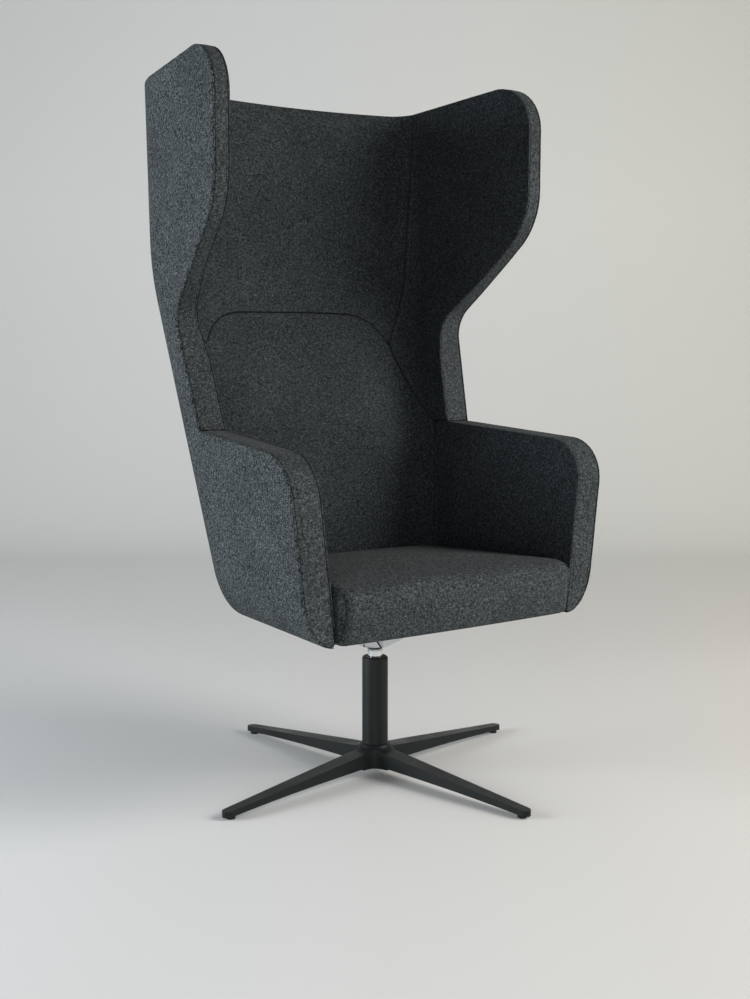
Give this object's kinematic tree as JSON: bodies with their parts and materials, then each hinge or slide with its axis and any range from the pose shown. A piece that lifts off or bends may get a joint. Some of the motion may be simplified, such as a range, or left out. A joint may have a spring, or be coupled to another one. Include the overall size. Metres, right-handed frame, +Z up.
{
  "type": "acoustic high back lounge chair",
  "caption": "Wool covered lounge chair with a tall winged acoustic hood, closed arms and a tongue shaped back cushion, swivelling on a low black star base.",
  "frame": {"origin": "on the floor under the middle of the chair's outline, which is the swivel axis, at the height of the undersides of the glides", "axes": "+Z up along the swivel axis, -Y the way the sitter looks, +X towards the sitter's left hand"},
  "size_m": [0.744, 0.7516, 1.3326],
  "materials": {
    "felt": "melange wool felt",
    "felt_lining": "melange wool felt",
    "black_coat": "fine satin powder coat",
    "black_nylon": "matte",
    "under_cloth": "spunbonded lining",
    "zinc_steel": "zinc plated",
    "chrome": "bright",
    "polished_aluminium": "polished casting",
    "birch_ply": "raw plywood",
    "moulded_ply": "raw moulded plywood"
  },
  "bodies": {
    "base": {"star_base": "black_coat", "glides": "black_nylon", "column_tube": "black_coat", "column_cap": "black_nylon", "base_bolt": "zinc_steel", "lower_bush": "black_nylon", "thrust_washer": "zinc_steel"},
    "seat": {"spindle": "chrome", "retaining_ring": "zinc_steel", "seat_spider": "polished_aluminium", "spindle_screw": "zinc_steel", "spider_bolts": "zinc_steel", "tee_nuts": "zinc_steel", "cross_rail_front": "birch_ply", "cross_rail_rear": "birch_ply", "seat_board": "birch_ply", "underside_cloth": "under_cloth", "lower_shell": "moulded_ply", "hood_shell": "moulded_ply", "hood_plates": "zinc_steel", "arm_cover_left": "felt", "arm_cover_right": "felt", "lower_back_cover": "felt", "arm_pad_left": "felt_lining", "arm_pad_right": "felt_lining", "arm_band_left": "felt", "arm_band_right": "felt", "back_cushion": "felt", "seat_cushion": "felt", "hood_side_cover_left": "felt", "hood_side_cover_right": "felt", "hood_back_cover": "felt", "wing_pad_left": "felt_lining", "wing_pad_right": "felt_lining", "head_pad": "felt_lining", "hood_band": "felt"}
  },
  "joints": [
    {"name": "swivel", "type": "hinge", "parent": "base", "child": "seat", "pos_m": [0, 0, 0.2], "axis": [0, 0, 1], "continuous": true}
  ]
}
